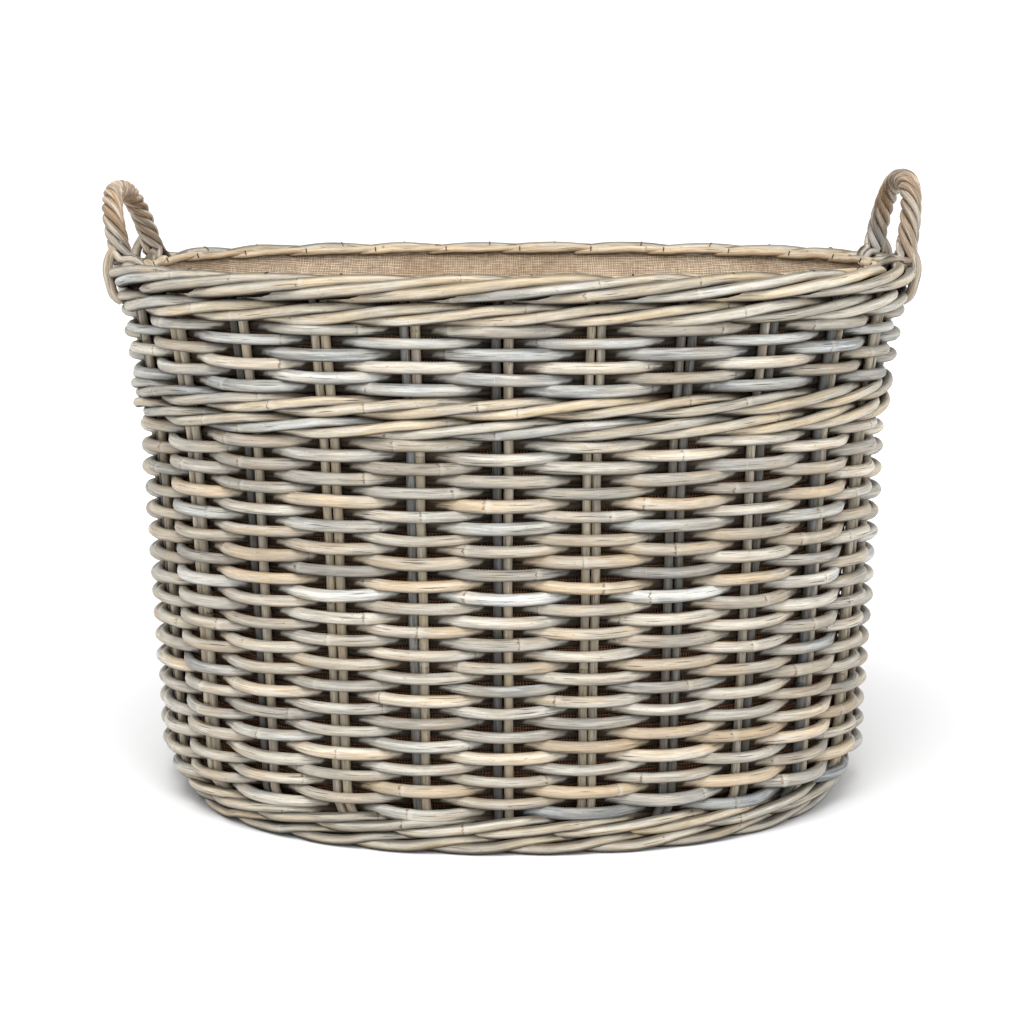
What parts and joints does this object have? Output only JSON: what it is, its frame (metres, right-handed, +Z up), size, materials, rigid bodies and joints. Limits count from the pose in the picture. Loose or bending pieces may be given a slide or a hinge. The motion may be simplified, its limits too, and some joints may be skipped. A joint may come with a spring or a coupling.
{
  "type": "wicker log basket",
  "caption": "Oval wicker log basket with paired stakes, a mid wale, a plaited rim and foot, a hessian lining and twisted end handles.",
  "frame": {"origin": "centre of the oval that the foot border rests on, at ground level", "axes": "+X along the length towards the right handle, front at -Y, +Z up"},
  "size_m": [0.6481, 0.4984, 0.4977],
  "materials": {
    "rattan_grey": "matte, grey-washed",
    "rattan_stake": "matte, grey-washed",
    "rattan_border": "matte, grey-washed",
    "rattan_tan": "satin",
    "rattan_handle": "satin",
    "rattan_floor": "matte",
    "hessian": "coarse plain weave",
    "nail_iron": "dark"
  },
  "bodies": {
    "root": {"foot_border": "rattan_border", "foot_wale": "rattan_border", "left_stakes": "rattan_stake", "right_stakes": "rattan_stake", "weaving_row_01": "rattan_grey", "weaving_row_02": "rattan_grey", "weaving_row_03": "rattan_grey", "weaving_row_04": "rattan_grey", "weaving_row_05": "rattan_grey", "weaving_row_06": "rattan_grey", "weaving_row_07": "rattan_grey", "weaving_row_08": "rattan_grey", "weaving_row_09": "rattan_grey", "weaving_row_10": "rattan_grey", "weaving_row_11": "rattan_grey", "weaving_row_12": "rattan_grey", "weaving_row_13": "rattan_grey", "weaving_row_14": "rattan_grey", "weaving_row_15": "rattan_grey", "weaving_row_16": "rattan_grey", "weaving_row_17": "rattan_grey", "weaving_row_18": "rattan_grey", "weaving_row_19": "rattan_grey", "weaving_row_20": "rattan_grey", "weaving_row_21": "rattan_grey", "weaving_row_22": "rattan_grey", "weaving_row_23": "rattan_grey", "weaving_row_24": "rattan_grey", "weaving_row_25": "rattan_grey", "weaving_row_26": "rattan_grey", "weaving_row_27": "rattan_grey", "weaving_row_28": "rattan_grey", "weaving_row_29": "rattan_grey", "weaving_row_30": "rattan_grey", "weaving_row_31": "rattan_grey", "weaving_row_32": "rattan_grey", "weaving_row_33": "rattan_grey", "mid_wale_lower": "rattan_border", "mid_wale_upper": "rattan_border", "upper_row_1": "rattan_grey", "upper_row_2": "rattan_grey", "upper_row_3": "rattan_grey", "upper_row_4": "rattan_grey", "upper_row_5": "rattan_grey", "upper_row_6": "rattan_grey", "top_wale": "rattan_border", "top_border": "rattan_border", "inner_band": "rattan_tan", "border_nails": "nail_iron", "lining_floor": "hessian", "lining_left": "hessian", "lining_right": "hessian", "lining_hem": "hessian", "handle_left": "rattan_handle", "handle_right": "rattan_handle", "lashing_left": "rattan_handle", "lashing_right": "rattan_handle", "base_hoop": "rattan_floor", "base_bars": "rattan_floor", "base_weave": "rattan_floor"}
  },
  "joints": []
}
